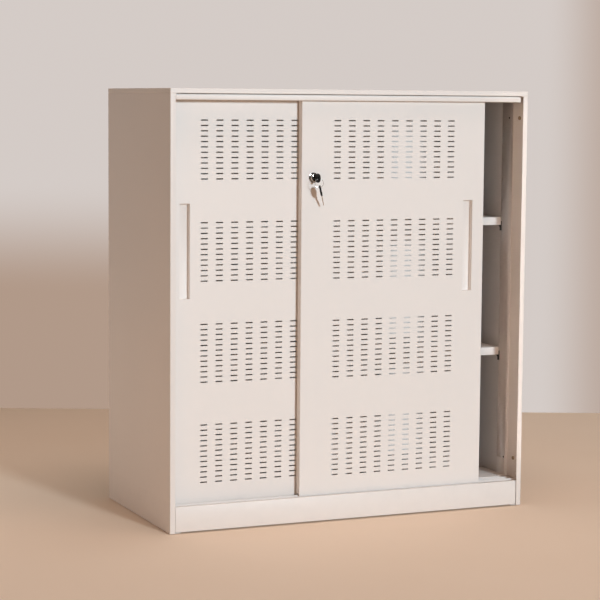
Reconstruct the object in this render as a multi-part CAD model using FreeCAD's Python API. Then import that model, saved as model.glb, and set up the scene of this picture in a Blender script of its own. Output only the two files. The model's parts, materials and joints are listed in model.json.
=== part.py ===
import FreeCAD, Part
import math
import os

from FreeCAD import Vector

# Steel storage cabinet with two slotted sliding doors, two shelves and a push lock.
# Millimetres. X runs to the right, Y to the rear, Z up. The origin lies on the floor,
# in the middle of the cabinet's width and depth. "Depth" counts from the front plane.

# ---- whole cabinet ----
cabinet_width = 900.0
cabinet_depth = 441.0
cabinet_height = 995.0
sheet = 1.0
outer_bend = 1.6
seam_bend = 1.0
panel_gap = 0.4
touch_gap = 0.3

# ---- top panel and side panels ----
top_panel_height = 11.0
top_panel_hem = 16.0
side_front_fold = 12.5
side_rear_fold = 20.0
side_top_fold = 16.0

# ---- base ----
plinth_height = 60.0
plinth_lip = 10.0
plinth_floor_gap = 2.5
plinth_shoulder_depth = 3.0
plinth_right_gap = 3.5
base_flange = 25.0
base_front_reveal = 0.6
base_tab_front = 22.0
base_tab_width = 17.0
base_tab_height = 23.0

# ---- door tracks ----
fascia_height = 9.5
fascia_drop = 15.3
fascia_right_gap = 7.5
fascia_groove_depth = 12.0
front_door_depth = 15.0
door_pitch = 22.0
guide_fin_length = 14.0
track_sill_depth = 67.0
track_sill_drop = 8.0
rail_width = 3.0
rail_rise = 10.0

# ---- uprights, brackets and shelves ----
upright_rise = 6.0
upright_width = 42.0
upright_slot_width = 3.0
upright_slot_height = 12.0
upright_slot_inset = 3.5
upright_slot_pitch = 26.5
upright_slot_count = 32
first_slot_height = 116.0
upright_bracket_height = 42.0
upright_bracket_foot = 14.0
upright_rivet_radius = 2.4
upright_rivet_head = 1.2
upright_rivet_inset = 8.0
upright_rivet_from_foot = 45.0
upright_rivet_from_head = 50.0
shelf_end_gap = 3.0
shelf_front_depth = 103.0
shelf_rear_gap = 4.0
shelf_lip = 19.0
shelf_hem = 10.0
lower_shelf_slot = 9
upper_shelf_slot = 21
clip_width = 8.0
clip_reach = 8.0
clip_drop = 14.0
clip_rise = 9.0
clip_thickness = 1.5
clip_tongue_width = 2.0
clip_tongue_reach = 3.0

# ---- doors ----
door_width = 471.0
door_thickness = 17.3
door_bottom = 60.0
door_top = 975.0
door_sheet = 1.0
door_bend = 2.2
door_rear_hem = 14.0
door_foot_hem = 4.0
door_rail_notch = 4.0
door_channel_height = 35.0
closed_edge_gap = 5.0
right_door_closing_travel = 102.3

# ---- slots in the doors ----
slot_length = 17.4
slot_height = 2.9
slot_columns = 9
slot_groups = 4
slot_rows = 12
slot_column_pitch = 36.6
slot_row_pitch = 11.95
slot_group_pitch = 229.4
lowest_slot_height = 105.1

# ---- recessed handles ----
handle_width = 24.6
handle_height = 214.2
handle_foot = 524.5
handle_from_edge = 30.0
handle_depth = 13.0
handle_flange = 6.0

# ---- rollers and guides ----
roller_from_edge = 45.0
roller_radius = 11.0
roller_tread_radius = 9.0
roller_width = 8.0
roller_groove_clearance = 0.25
roller_axle_radius = 2.5
roller_bore_clearance = 0.06
roller_side_gap = 0.5
axle_head_radius = 4.0
axle_head_thickness = 0.8
bracket_sheet = 1.2
bracket_width = 24.0
guide_length = 30.0
guide_height = 6.0
guide_side_gap = 0.4
guide_stem_length = 12.0
guide_stem_width = 8.0

# ---- door stops ----
stop_radius = 4.5
stop_from_floor = 109.0
stop_from_top = 63.0

# ---- push lock ----
lock_from_edge = 29.5
lock_height = 795.0
lock_travel = 8.0
lock_barrel_radius = 9.3
lock_proud = 11.0
lock_barrel_rear = 4.0
lock_nose_radius = 5.6
lock_running_clearance = 0.05
lock_housing_radius = 11.0
lock_hole_gap = 0.1
lock_flange_radius = 11.8
lock_flange_thickness = 1.2
lock_spring_pocket_radius = 8.4
lock_spring_pocket_depth = 8.0
lock_rear_wall = 1.5
lock_rear_wall_depth = 12.3
lock_nut_flats = 28.0
lock_nut_thickness = 3.0
lock_nose_to_rear_door = 0.7
spring_radius = 7.0
spring_wire_radius = 0.35
spring_turns = 6
plug_head_radius = 5.0
plug_head_length = 4.0
plug_radius = 4.0
plug_length = 20.0

# ---- strike plate on the rear door ----
strike_width = 24.0
strike_height = 40.0
strike_thickness = 1.2
strike_proud = 2.6
strike_foot = 7.0
strike_hole_clearance = 0.6
strike_rivet_radius = 1.6
strike_rivet_head = 0.6

# ---- keys and ring ----
key_bow_length = 26.0
key_bow_height = 21.0
key_bow_thickness = 4.0
key_bow_gap = 0.4
key_hole_radius = 3.0
key_hole_from_end = 5.5
key_blade_height = 6.4
key_blade_thickness = 2.0
key_blade_length = 19.0
key_slot_clearance = 0.12
spare_blade_length = 26.0
ring_radius = 10.0
ring_wire_radius = 0.9
ring_hang = 1.2
ring_yaw = 11.0
spare_ring_angle = 12.5
spare_lean_right = 21.9
spare_lean_back = 20.3
spare_plate_yaw = 22.3

# ---- back panel screws ----
screw_head_radius = 4.0
screw_head_height = 1.6
screw_rows = 5

# ---- positions that follow from the values above ----
half_width = cabinet_width / 2
half_depth = cabinet_depth / 2
inner_half_width = half_width - sheet
side_height = cabinet_height - top_panel_height
front_opening_half = half_width - side_front_fold
bottom_panel_top = plinth_height
sill_floor = plinth_height - track_sill_drop
rail_top = sill_floor + rail_rise
rail_half_length = inner_half_width - sheet - panel_gap
track_roof_top = side_height - sheet
fascia_bottom = cabinet_height - fascia_drop - fascia_height
rear_door_depth = front_door_depth + door_pitch
front_door_centre = front_door_depth + door_thickness / 2
rear_door_centre = rear_door_depth + door_thickness / 2
closed_outer_edge = half_width - closed_edge_gap
right_door_inner_edge = closed_outer_edge - right_door_closing_travel - door_width
left_door_inner_edge = door_width - closed_outer_edge
back_panel_depth = cabinet_depth - 2 * sheet
upright_inner_half = inner_half_width - upright_rise
upright_top = track_roof_top - sheet
roller_centre_height = rail_top + touch_gap + roller_tread_radius
lock_x = right_door_inner_edge + lock_from_edge
strike_from_edge = left_door_inner_edge - lock_x - right_door_closing_travel
lock_nose_end = door_pitch - lock_nose_to_rear_door - lock_travel
strike_face = door_pitch - strike_proud


def block(x, y, z):
    """A box between two values along each axis."""
    corner = Vector(min(x), min(y), min(z))
    return Part.makeBox(max(x) - min(x), max(y) - min(y), max(z) - min(z), corner)


def at_depth(*depths):
    """Y values of depths that are counted from the front plane."""
    return tuple(depth - half_depth for depth in depths)


def both_sides(low, high):
    """A pair of X ranges, one on each side of the middle."""
    return (low, high), (-high, -low)


def join(shapes):
    """One solid from shapes that touch or overlap."""
    whole = shapes[0].fuse(shapes[1:]) if len(shapes) > 1 else shapes[0]
    return whole.removeSplitter()


def rod(radius, start, end):
    """A cylinder from one point to another."""
    run = end.sub(start)
    return Part.makeCylinder(radius, run.Length, start, run)


def tube(outer, inner, start, end):
    """A round tube from one point to another."""
    run = end.sub(start)
    core = Part.makeCylinder(inner, run.Length, start, run)
    return Part.makeCylinder(outer, run.Length, start, run).cut(core)


def mirror_x(shape):
    """The shape seen in a mirror that stands in the middle of the width."""
    return shape.mirror(Vector(0, 0, 0), Vector(1, 0, 0))


def round_edges(shape, radius, chosen):
    """Rounds the straight edges that a test picks out by their two ends."""
    edges = [edge for edge in shape.Edges
             if len(edge.Vertexes) == 2 and chosen(edge.Vertexes[0].Point, edge.Vertexes[1].Point)]
    return shape.makeFillet(radius, edges)


def is_upright_at(x, y):
    """A test for the vertical edge that stands at one X and Y."""
    def test(start, end):
        return all(abs(point.x - x) < 0.01 and abs(point.y - y) < 0.01 for point in (start, end))
    return test


# ---------------------------------------------------------------- carcass

def make_top_panel():
    """A shallow tray turned upside down, with a hem turned in along its lower edge."""
    low, high = side_height, cabinet_height
    y = at_depth(0, cabinet_depth)
    outside = block((-half_width, half_width), y, (low, high))
    for x in (-half_width, half_width):
        for edge_y in y:
            outside = round_edges(outside, outer_bend, is_upright_at(x, edge_y))
    crown = [edge for edge in outside.Edges if all(abs(v.Point.z - high) < 0.01 for v in edge.Vertexes)]
    outside = outside.makeFillet(outer_bend / 2, crown)
    rim = [edge for edge in outside.Edges if all(abs(v.Point.z - low) < 0.01 for v in edge.Vertexes)]
    outside = outside.makeFillet(seam_bend, rim)
    inner_y = at_depth(sheet, cabinet_depth - sheet)
    hollow = block((-inner_half_width, inner_half_width), inner_y, (low + sheet, high - sheet))
    hem_half = inner_half_width - top_panel_hem
    mouth_y = at_depth(sheet + top_panel_hem, cabinet_depth - sheet - top_panel_hem)
    mouth = block((-hem_half, hem_half), mouth_y, (low, low + sheet))
    return outside.cut(hollow).cut(mouth)


def make_right_side_panel():
    """One skin with a fold along its front, its rear and its top."""
    y = at_depth(0, cabinet_depth)
    skin = block((inner_half_width, half_width), y, (0, side_height))
    front = block((front_opening_half, half_width), at_depth(0, sheet), (0, side_height))
    rear_x = half_width - side_rear_fold
    rear = block((rear_x, half_width), at_depth(cabinet_depth - sheet, cabinet_depth), (0, side_height))
    top_x = half_width - side_top_fold
    top = block((top_x, half_width), y, (side_height - sheet, side_height))
    panel = join([skin, front, rear, top])
    for edge_y in y:
        panel = round_edges(panel, outer_bend, is_upright_at(half_width, edge_y))

    def is_seam(start, end):
        return all(abs(point.x - half_width) < 0.01 and abs(point.z - side_height) < 0.01
                   for point in (start, end))

    return round_edges(panel, seam_bend, is_seam)


def make_back_panel():
    """A flat sheet behind the bays, between the two rear folds' front faces."""
    half = inner_half_width - panel_gap
    y = at_depth(back_panel_depth, back_panel_depth + sheet)
    return block((-half, half), y, (sheet, track_roof_top - panel_gap))


def make_back_screws():
    """Round-headed screws through the rear folds of the side panels into the back panel."""
    inset = side_rear_fold / 2
    spacing = (side_height - 2 * plinth_height) / (screw_rows - 1)
    screws = []
    for x in (-half_width + inset, half_width - inset):
        for row in range(screw_rows):
            z = plinth_height + row * spacing
            head_y, tip_y = at_depth(cabinet_depth + screw_head_height, cabinet_depth)
            head = Part.makeCone(screw_head_radius / 2, screw_head_radius, screw_head_height,
                                 Vector(x, head_y, z), Vector(0, -1, 0))
            screws.append(head)
    return Part.makeCompound(screws)


def make_base_frame():
    """A welded ring that carries the cabinet: plinth front, two sides, rear and floor flanges."""
    rear = back_panel_depth
    half = inner_half_width
    face_x = (base_front_reveal - front_opening_half, front_opening_half - plinth_right_gap)
    shelf_level = bottom_panel_top - sheet
    trough_level = sill_floor - sheet
    face = block(face_x, at_depth(0, sheet), (plinth_floor_gap, plinth_height))
    lip = block(face_x, at_depth(0, plinth_lip), (shelf_level, plinth_height))
    lip_turn = block((-half, half), at_depth(plinth_lip - sheet, plinth_lip), (trough_level, plinth_height))
    foot = block(face_x, at_depth(0, base_flange), (plinth_floor_gap, plinth_floor_gap + sheet))
    shoulder = block((-half, half), at_depth(plinth_shoulder_depth, plinth_shoulder_depth + sheet),
                     (plinth_floor_gap, plinth_height))
    walls = [face, lip, lip_turn, foot, shoulder]
    for x in both_sides(half - sheet, half):
        walls.append(block(x, at_depth(sheet, track_sill_depth), (0, trough_level)))
        walls.append(block(x, at_depth(track_sill_depth, track_sill_depth + sheet), (0, trough_level)))
        walls.append(block(x, at_depth(track_sill_depth + sheet, rear), (0, shelf_level)))
    walls.append(block((-half, half), at_depth(rear - sheet, rear), (0, shelf_level)))
    flange = block((-half, half), at_depth(sheet, rear), (0, sheet))
    window = block((base_flange - half, half - base_flange), at_depth(0, rear - base_flange), (0, sheet))
    return join(walls + [flange.cut(window)])


def make_base_tabs():
    """A small plate at each end of the trough that ties the base to the side panel."""
    y = at_depth(base_tab_front, base_tab_front + base_tab_width)
    z = (sill_floor, sill_floor + base_tab_height)
    return Part.makeCompound([block(x, y, z) for x in both_sides(inner_half_width - sheet, inner_half_width)])


def make_bottom_panel():
    """The floor of the lowest bay, folded down in front into a trough for the door rails."""
    half = inner_half_width - panel_gap
    trough_front = plinth_lip
    deck = block((-half, half), at_depth(track_sill_depth, back_panel_depth),
                 (bottom_panel_top - sheet, bottom_panel_top))
    step = block((-half, half), at_depth(track_sill_depth, track_sill_depth + sheet),
                 (sill_floor - sheet, bottom_panel_top))
    trough = block((-half, half), at_depth(trough_front, track_sill_depth + sheet),
                   (sill_floor - sheet, sill_floor))
    return join([deck, step, trough])


def make_rail(centre_depth):
    """A round-topped bar that a door's rollers run on."""
    y = at_depth(centre_depth - rail_width / 2, centre_depth + rail_width / 2)
    crown = rail_width / 2
    bar = block((-rail_half_length, rail_half_length), y, (sill_floor, rail_top - crown))
    middle_y = at_depth(centre_depth)[0]
    top = rod(crown, Vector(-rail_half_length, middle_y, rail_top - crown),
              Vector(rail_half_length, middle_y, rail_top - crown))
    return join([bar, top])


def make_top_track():
    """The roof over the doors: a narrow fascia in front and three fins that guide the doors."""
    roof = (track_roof_top - sheet, track_roof_top)
    half = inner_half_width - panel_gap
    front_half = front_opening_half - base_front_reveal
    fascia_x = (-front_half, front_opening_half - fascia_right_gap)
    fascia_top = fascia_bottom + fascia_height
    fin_bottom = track_roof_top - guide_fin_length
    rear_end = track_sill_depth
    plates = [
        block(fascia_x, at_depth(0, sheet), (fascia_bottom, fascia_top)),
        block(fascia_x, at_depth(0, fascia_groove_depth + sheet), (fascia_top - sheet, fascia_top)),
        block((-front_half, front_half), at_depth(fascia_groove_depth, fascia_groove_depth + sheet),
              (fascia_top - sheet, track_roof_top)),
        block((-half, half), at_depth(fascia_groove_depth, rear_end), roof),
        block((-half, half), at_depth(rear_end - sheet, rear_end), (fin_bottom, track_roof_top)),
    ]
    for number in range(3):
        depth = front_door_centre + (number - 0.5) * door_pitch
        fin_y = at_depth(depth - sheet / 2, depth + sheet / 2)
        plates.append(block((-front_half, front_half), fin_y, (fin_bottom, track_roof_top)))
    return join(plates)


class Upright:
    """Where one pair of uprights stands. The slots lie near the edge that faces the shelf's middle."""

    def __init__(self, front_depth, inward):
        self.front, self.rear = front_depth, front_depth + upright_width
        outer, inner = (self.front, self.rear) if inward > 0 else (self.rear, self.front)
        self.inward = inward
        self.slot_depth = inner - inward * upright_slot_inset
        self.rivet_depth = outer + inward * upright_rivet_inset


front_place = Upright(track_sill_depth, 1)
rear_place = Upright(back_panel_depth - upright_width, -1)
upright_places = (front_place, rear_place)


def make_upright(place):
    """A shallow slotted channel that stands against a side panel and carries the shelf clips."""
    z = (bottom_panel_top, upright_top)
    face_x = (upright_inner_half, upright_inner_half + sheet)
    leg_x = (upright_inner_half, inner_half_width)
    face = block(face_x, at_depth(place.front, place.rear), z)
    front = block(leg_x, at_depth(place.front, place.front + sheet), z)
    rear = block(leg_x, at_depth(place.rear - sheet, place.rear), z)
    channel = join([face, front, rear])
    half_slot = upright_slot_width / 2
    slot_y = at_depth(place.slot_depth - half_slot, place.slot_depth + half_slot)
    slots = []
    for number in range(upright_slot_count):
        foot = first_slot_height + number * upright_slot_pitch
        if foot + upright_slot_height < upright_top - upright_rivet_from_head:
            slots.append(block(face_x, slot_y, (foot, foot + upright_slot_height)))
    return channel.cut(Part.makeCompound(slots))


def make_upright_brackets():
    """Four small angles that tie the feet of the uprights to the bottom panel."""
    brackets = []
    for place in upright_places:
        y = at_depth(place.front + sheet, place.rear - sheet)
        for side in (1, -1):
            inner = side * upright_inner_half
            wall = block((inner - side * sheet, inner), y,
                         (bottom_panel_top, bottom_panel_top + upright_bracket_height))
            foot = block((inner - side * upright_bracket_foot, inner), y,
                         (bottom_panel_top, bottom_panel_top + sheet))
            brackets.append(join([wall, foot]))
    return Part.makeCompound(brackets)


def make_upright_rivets():
    """Dark push rivets that hold each upright near its foot and its head."""
    rivets = []
    heights = (bottom_panel_top + upright_rivet_from_foot, upright_top - upright_rivet_from_head)
    for place in upright_places:
        y = at_depth(place.rivet_depth)[0]
        for side in (1, -1):
            for z in heights:
                face_x = side * upright_inner_half
                rivets.append(rod(upright_rivet_radius, Vector(face_x - side * upright_rivet_head, y, z),
                                  Vector(face_x, y, z)))
    return Part.makeCompound(rivets)


def shelf_underside(slot_number):
    """The height at which the clips hold a shelf."""
    return first_slot_height + slot_number * upright_slot_pitch


def make_shelf(slot_number):
    """A folded tray, open below, with a hem along its front and rear lips."""
    half = upright_inner_half - shelf_end_gap
    under = shelf_underside(slot_number)
    front, rear = shelf_front_depth, back_panel_depth - shelf_rear_gap
    z = (under, under + shelf_lip)
    x = (-half, half)
    deck = block(x, at_depth(front, rear), (z[1] - sheet, z[1]))
    front_lip = block(x, at_depth(front, front + sheet), z)
    rear_lip = block(x, at_depth(rear - sheet, rear), z)
    front_hem = block(x, at_depth(front, front + shelf_hem), (under, under + sheet))
    rear_hem = block(x, at_depth(rear - shelf_hem, rear), (under, under + sheet))
    ends = [block(end_x, at_depth(front, rear), z) for end_x in both_sides(half - sheet, half)]
    tray = join([deck, front_lip, rear_lip, front_hem, rear_hem] + ends)
    nose_y = at_depth(front)[0]

    def is_nose(start, end):
        along_x = abs(start.y - nose_y) < 0.01 and abs(end.y - nose_y) < 0.01
        return along_x and abs(start.z - end.z) < 0.01 and abs(start.z - z[1]) < 0.01

    return round_edges(tray, sheet * 0.9, is_nose)


def make_shelf_clips(slot_number):
    """Four hooks that sit in the uprights' slots and hold one shelf near its corners."""
    under = shelf_underside(slot_number)
    half_tongue = clip_tongue_width / 2
    clips = []
    for place in upright_places:
        start = place.slot_depth - place.inward * upright_slot_width / 2
        y = at_depth(start, start + place.inward * clip_width)
        tongue_y = at_depth(place.slot_depth - half_tongue, place.slot_depth + half_tongue)
        for side in (1, -1):
            face = side * upright_inner_half
            reach = face - side * clip_reach
            plate = block((face - side * clip_thickness, face), y, (under - clip_drop, under + clip_rise))
            seat = block((reach, face), y, (under - clip_thickness, under))
            tongue = block((face, face + side * clip_tongue_reach), tongue_y,
                           (under + clip_thickness, under + clip_rise))
            gusset_face = Part.Face(Part.makePolygon([
                Vector(face, y[0], under), Vector(reach, y[0], under),
                Vector(reach, y[0], under - clip_thickness), Vector(face, y[0], under - clip_drop),
                Vector(face, y[0], under)]))
            gusset = gusset_face.extrude(Vector(0, place.inward * clip_thickness, 0))
            clips.append(join([plate, seat, tongue, gusset]))
    return Part.makeCompound(clips)


def make_door_stops(side):
    """Rubber buttons high and low on one side panel, so wide that each one meets both doors."""
    y = at_depth((front_door_centre + rear_door_centre) / 2)[0]
    stops = []
    for z in (stop_from_floor, cabinet_height - stop_from_top):
        wall = Vector(side * inner_half_width, y, z)
        face = Vector(side * (closed_outer_edge + touch_gap), y, z)
        stops.append(rod(stop_radius, wall, face))
    return Part.makeCompound(stops)


# ---------------------------------------------------------------- doors
# A door is made as the right-hand one: X counts from its inner edge to its outer edge
# and Y from its front face to its rear, at the height where it hangs.

def slot_outline(x, z):
    """A wire round one slot, with half-round ends."""
    reach, half = slot_length / 2 - slot_height / 2, slot_height / 2
    lower_left, lower_right = Vector(x - reach, 0, z - half), Vector(x + reach, 0, z - half)
    upper_left, upper_right = Vector(x - reach, 0, z + half), Vector(x + reach, 0, z + half)
    right_end = Part.Arc(lower_right, Vector(x + reach + half, 0, z), upper_right).toShape()
    left_end = Part.Arc(upper_left, Vector(x - reach - half, 0, z), lower_left).toShape()
    lower = Part.makeLine(lower_left, lower_right)
    upper = Part.makeLine(upper_right, upper_left)
    return Part.Wire([lower, right_end, upper, left_end])


def rectangle_outline(x, z):
    """A rectangular wire in the plane of the door's front face."""
    corners = [Vector(x[0], 0, z[0]), Vector(x[1], 0, z[0]), Vector(x[1], 0, z[1]), Vector(x[0], 0, z[1])]
    return Part.makePolygon(corners + corners[:1])


handle_x = (door_width - handle_from_edge - handle_width, door_width - handle_from_edge)
handle_z = (handle_foot, handle_foot + handle_height)


def make_door_panel():
    """The slotted face of a door with its four edges folded back."""
    holes = [rectangle_outline(handle_x, handle_z)]
    first_column = door_width / 2 - (slot_columns - 1) / 2 * slot_column_pitch
    for column in range(slot_columns):
        for group in range(slot_groups):
            for row in range(slot_rows):
                z = lowest_slot_height + group * slot_group_pitch + row * slot_row_pitch
                holes.append(slot_outline(first_column + column * slot_column_pitch, z))
    inner_x = (door_bend, door_width - door_bend)
    field = Part.Face(rectangle_outline(inner_x, (door_bottom, door_top)))
    for hole in holes:
        hole.reverse()
    field.cutHoles(holes)
    field = field.extrude(Vector(0, door_sheet, 0))
    z = (door_bottom, door_top)
    rear = (door_thickness - door_sheet, door_thickness)
    folds = []
    for edge, turn in ((0, 1), (door_width, -1)):
        stile = block((edge, edge + turn * door_bend), (0, door_bend + door_sheet), z)
        side = block((edge, edge + turn * door_sheet), (0, door_thickness), z)
        hem = block((edge, edge + turn * door_rear_hem), rear, z)
        inside = block((edge + turn * door_sheet, edge + turn * (door_bend + door_sheet)),
                       (door_sheet, door_bend + 2 * door_sheet), z)
        fold = join([stile.cut(inside), side, hem])
        folds.append(round_edges(fold, door_bend * 0.8, is_upright_at(edge, 0)))
    x = (door_sheet, door_width - door_sheet)
    folds.append(block(x, (0, door_thickness), (door_top - door_sheet, door_top)))
    folds.append(block(x, (0, door_foot_hem), (door_bottom, door_bottom + door_sheet)))
    rail_way = block((0, door_width), (door_foot_hem, door_thickness),
                     (door_bottom, door_bottom + door_rail_notch))
    return field.fuse(folds).cut(rail_way)


channel_rear = (door_thickness - 2 * door_sheet, door_thickness - door_sheet)
bottom_web = door_bottom + door_channel_height
top_web = door_top - door_channel_height


def make_lock_hole():
    """The round hole that the lock's sleeve stands in."""
    front, rear = Vector(lock_from_edge, -touch_gap, lock_height), Vector(lock_from_edge, door_thickness, lock_height)
    return rod(lock_housing_radius + lock_hole_gap, front, rear)


def make_bottom_channel():
    """An angle inside the door's foot: its web carries the roller brackets."""
    x = (door_sheet, door_width - door_sheet)
    web = block(x, (door_sheet, channel_rear[1]), (bottom_web - door_sheet, bottom_web))
    leg = block(x, channel_rear, (door_bottom + door_foot_hem, bottom_web))
    return join([web, leg])


def make_top_channel():
    """An angle inside the door's head."""
    x = (door_sheet, door_width - door_sheet)
    web = block(x, (door_sheet, channel_rear[1]), (top_web, top_web + door_sheet))
    leg = block(x, channel_rear, (top_web, door_top - door_sheet))
    return join([web, leg])


def make_handle_cup():
    """A folded pocket behind the handle opening, with a flange against the back of the face."""
    x, z = handle_x, handle_z
    outer_x, outer_z = (x[0] - sheet, x[1] + sheet), (z[0] - sheet, z[1] + sheet)
    flange_x = (x[0] - handle_flange, x[1] + handle_flange)
    flange_z = (z[0] - handle_flange, z[1] + handle_flange)
    shell = block(outer_x, (door_sheet, handle_depth + sheet), outer_z)
    flange = block(flange_x, (door_sheet, 2 * door_sheet), flange_z)
    pocket = block(x, (door_sheet, handle_depth), z)
    return join([shell, flange]).cut(pocket).removeSplitter()


roller_places = (roller_from_edge, door_width - roller_from_edge)
roller_middle = door_thickness / 2


def make_roller_brackets():
    """Two forks that hang from the bottom channel's web."""
    inner_half = roller_width / 2 + roller_side_gap
    outer_half = inner_half + bracket_sheet
    web = bottom_web - door_sheet
    foot = roller_centre_height - roller_axle_radius - bracket_sheet
    forks = []
    for place in roller_places:
        x = (place - bracket_width / 2, place + bracket_width / 2)
        bridge = block(x, (roller_middle - outer_half, roller_middle + outer_half), (web - bracket_sheet, web))
        cheeks = [block(x, (roller_middle + side * inner_half, roller_middle + side * outer_half), (foot, web))
                  for side in (1, -1)]
        fork = join([bridge] + cheeks)
        axle_hole = rod(roller_axle_radius, Vector(place, 0, roller_centre_height),
                        Vector(place, door_thickness, roller_centre_height))
        forks.append(fork.cut(axle_hole))
    return Part.makeCompound(forks)


def make_roller_axles():
    """Two riveted pins, one through each fork."""
    reach = roller_width / 2 + roller_side_gap + bracket_sheet
    pins = []
    for place in roller_places:
        def point(y):
            return Vector(place, roller_middle + y, roller_centre_height)
        shank = rod(roller_axle_radius, point(-reach), point(reach))
        heads = [rod(axle_head_radius, point(side * reach), point(side * (reach + axle_head_thickness)))
                 for side in (1, -1)]
        pins.append(join([shank] + heads))
    return Part.makeCompound(pins)


def make_roller(place):
    """A grooved nylon wheel, turned round its axle from one profile."""
    half = roller_width / 2
    groove = rail_width / 2 + roller_groove_clearance
    bore = roller_axle_radius + roller_bore_clearance
    flare = roller_radius - roller_tread_radius
    profile = [(bore, -half), (roller_radius - 0.5, -half), (roller_radius, -half + 0.5),
               (roller_radius, -groove - flare / 4), (roller_tread_radius, -groove),
               (roller_tread_radius, groove), (roller_radius, groove + flare / 4),
               (roller_radius, half - 0.5), (roller_radius - 0.5, half), (bore, half)]
    points = [Vector(place + radius, roller_middle + y, roller_centre_height) for radius, y in profile]
    face = Part.Face(Part.makePolygon(points + points[:1]))
    axis_point = Vector(place, roller_middle, roller_centre_height)
    return face.revolve(axis_point, Vector(0, 1, 0), 360)


def make_top_guides():
    """Two nylon blocks on the door's head that run between the fins of the top track."""
    half = (door_pitch - sheet) / 2 - guide_side_gap
    blocks = []
    for place in roller_places:
        x = (place - guide_length / 2, place + guide_length / 2)
        body = block(x, (roller_middle - half, roller_middle + half), (door_top, door_top + guide_height))
        for edge_x in x:
            for edge_y in (roller_middle - half, roller_middle + half):
                body = round_edges(body, 3.0, is_upright_at(edge_x, edge_y))
        blocks.append(body)
    return Part.makeCompound(blocks)


def place_right(shape):
    """Puts a door piece where the right, front door stands."""
    moved = shape.copy()
    moved.translate(Vector(right_door_inner_edge, at_depth(front_door_depth)[0], 0))
    return moved


def place_left(shape):
    """Puts a mirrored door piece where the left, rear door stands."""
    moved = mirror_x(shape)
    moved.translate(Vector(left_door_inner_edge, at_depth(rear_door_depth)[0], 0))
    return moved


# ---------------------------------------------------------------- lock, in the right door's own frame

def lock_point(y, radius=0.0):
    """A point on the lock's axis, or beside it."""
    return Vector(lock_from_edge + radius, y, lock_height)


def make_lock_housing():
    """The fixed sleeve: a flange on the door's face and a rear wall with the nose's hole."""
    bore = lock_barrel_radius + lock_running_clearance
    rear_end = lock_rear_wall_depth + lock_rear_wall
    sleeve = tube(lock_housing_radius, bore, lock_point(-lock_flange_thickness), lock_point(rear_end))
    flange = tube(lock_flange_radius, bore, lock_point(-lock_flange_thickness), lock_point(0))
    nose_hole = lock_nose_radius + lock_running_clearance
    wall = tube(bore, nose_hole, lock_point(lock_rear_wall_depth), lock_point(rear_end))
    return join([sleeve, flange, wall])


def make_lock_nut():
    """A thin six-sided nut behind the door's face."""
    corner = lock_nut_flats / math.sqrt(3)
    points = [Vector(lock_from_edge + corner * math.cos(math.radians(60 * turn)), door_sheet,
                     lock_height + corner * math.sin(math.radians(60 * turn))) for turn in range(7)]
    body = Part.Face(Part.makePolygon(points)).extrude(Vector(0, lock_nut_thickness, 0))
    return body.cut(rod(lock_housing_radius + touch_gap / 2, lock_point(0), lock_point(door_thickness)))


def make_lock_spring():
    """The spring between the plunger and the housing's rear wall."""
    front = lock_barrel_rear - lock_spring_pocket_depth + spring_wire_radius
    rear = lock_rear_wall_depth - spring_wire_radius
    pitch = (rear - front) / spring_turns
    helix = Part.makeHelix(pitch, rear - front, spring_radius)
    section = Part.Wire(Part.makeCircle(spring_wire_radius, Vector(spring_radius, 0, 0), Vector(0, 1, 0)))
    coil = Part.Wire(helix).makePipeShell([section], True, True)
    coil.rotate(Vector(0, 0, 0), Vector(1, 0, 0), -90)
    coil.translate(lock_point(front))
    return coil


def make_lock_plunger():
    """The chromed barrel that is pressed in, and the nose behind it that enters the strike."""
    barrel = rod(lock_barrel_radius, lock_point(-lock_proud), lock_point(lock_barrel_rear))
    rim = [edge for edge in barrel.Edges if edge.BoundBox.YLength < 0.01 and edge.BoundBox.YMax < 0]
    barrel = barrel.makeFillet(0.8, rim)
    pocket = tube(lock_spring_pocket_radius, lock_nose_radius,
                  lock_point(lock_barrel_rear - lock_spring_pocket_depth), lock_point(lock_barrel_rear))
    nose = rod(lock_nose_radius, lock_point(0), lock_point(lock_nose_end))
    head_seat = rod(plug_head_radius + lock_running_clearance, lock_point(-lock_proud),
                    lock_point(plug_head_length - lock_proud))
    body_seat = rod(plug_radius + lock_running_clearance, lock_point(-lock_proud),
                    lock_point(plug_length - lock_proud + lock_running_clearance))
    return join([barrel.cut(pocket), nose]).cut(head_seat).cut(body_seat)


def make_lock_plug():
    """The turning cylinder with its key slot."""
    head = rod(plug_head_radius, lock_point(-lock_proud), lock_point(plug_head_length - lock_proud))
    body = rod(plug_radius, lock_point(-lock_proud), lock_point(plug_length - lock_proud))
    half_width = key_blade_thickness / 2 + key_slot_clearance
    half_height = key_blade_height / 2 + key_slot_clearance
    slot = block((lock_from_edge - half_width, lock_from_edge + half_width),
                 (-lock_proud, key_blade_length - lock_proud + key_slot_clearance),
                 (lock_height - half_height, lock_height + half_height))
    return join([head, body]).cut(slot)


# ---------------------------------------------------------------- keys
# A key is made with its blade along +Y from its shoulder at Y = 0, and its bow towards -Y.

bow_start = -key_bow_gap
hole_y = bow_start - key_bow_length + key_hole_from_end


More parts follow.
